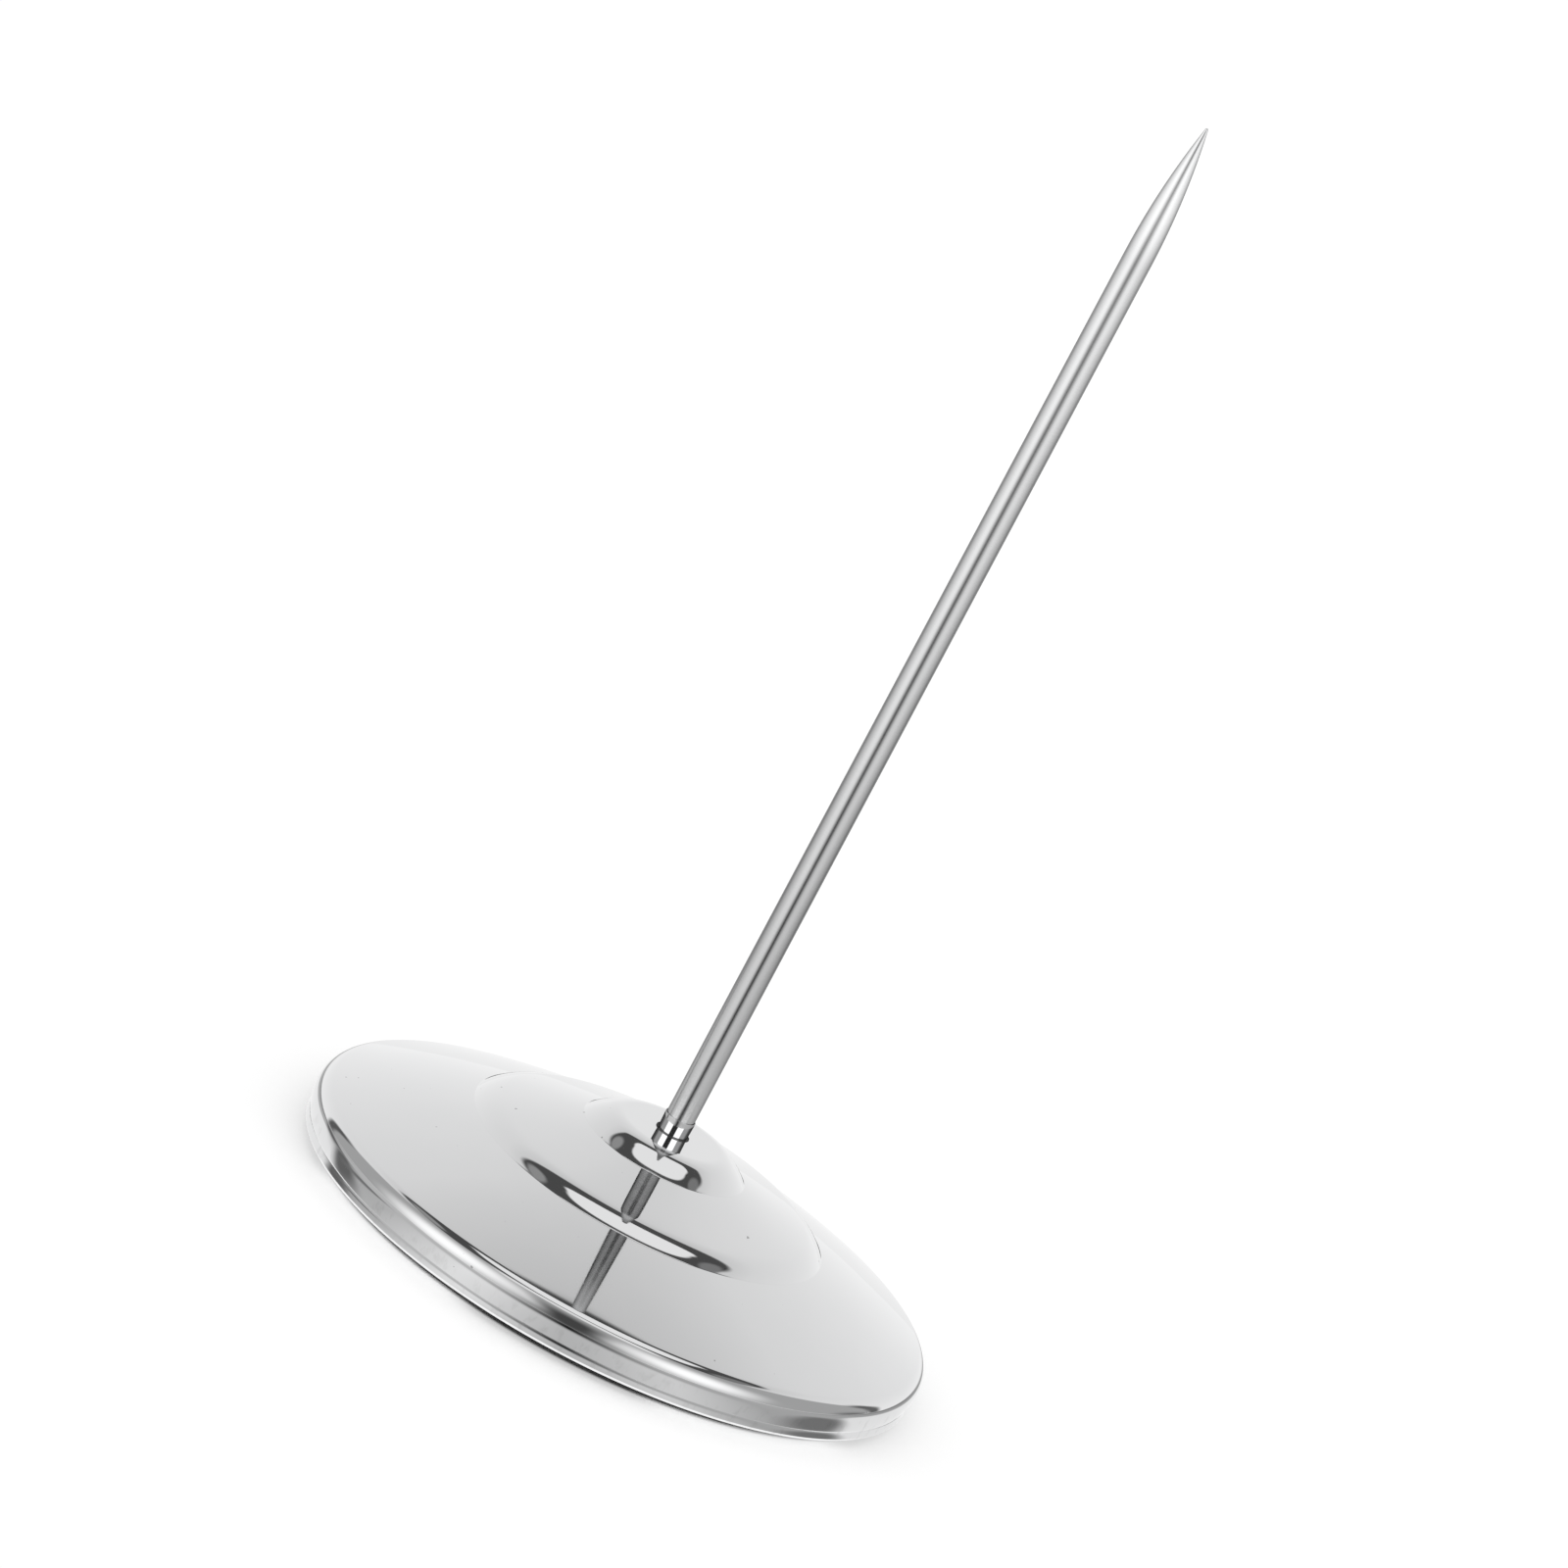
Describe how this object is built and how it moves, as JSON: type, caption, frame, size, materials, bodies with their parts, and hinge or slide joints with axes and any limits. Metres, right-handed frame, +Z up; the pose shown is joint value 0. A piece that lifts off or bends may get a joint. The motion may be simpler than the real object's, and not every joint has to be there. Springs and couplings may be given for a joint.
{
  "type": "bill spike",
  "caption": "Polished steel bill spike: a sharp upright rod with a foot collar, screwed into a round stepped and weighted base with a black foot pad, for impaling paper slips.",
  "frame": {"origin": "middle of the foot pad's underside, on the table", "axes": "+Z up the spike, +X and +Y across the round base, with no preferred front"},
  "size_m": [0.08, 0.08, 0.159],
  "materials": {
    "pad_foam": "matt closed-cell foam rubber",
    "adhesive": "double-sided film",
    "polished_steel": "mirror-polished stainless sheet with fine polishing lines",
    "raw_iron": "unpainted iron with a dull skin",
    "plated_steel": "zinc-plated",
    "collar_steel": "bright turned stainless",
    "drawn_steel": "bright drawn stainless rod, polished along its length"
  },
  "bodies": {
    "base": {"foot_pad": "pad_foam", "pad_adhesive": "adhesive", "base_shell": "polished_steel", "ballast_disc": "raw_iron", "captive_nut": "plated_steel", "spacer_sleeve": "plated_steel", "backing_washer": "plated_steel"},
    "collar": {"spike_collar": "collar_steel"},
    "spike": {"spike": "drawn_steel"}
  },
  "joints": [
    {"name": "spike_lift", "type": "slide", "parent": "base", "child": "collar", "axis": [0, 0, 1], "range_m": [0, 0.00237]},
    {"name": "spike_turn", "type": "hinge", "parent": "collar", "child": "spike", "pos_m": [0, 0, 0.0191], "axis": [0, 0, 1], "range_deg": [0, 1710]}
  ],
  "couplings": [
    {"joint": "spike_turn", "follows": "spike_lift", "rad_per_m": 12566}
  ]
}
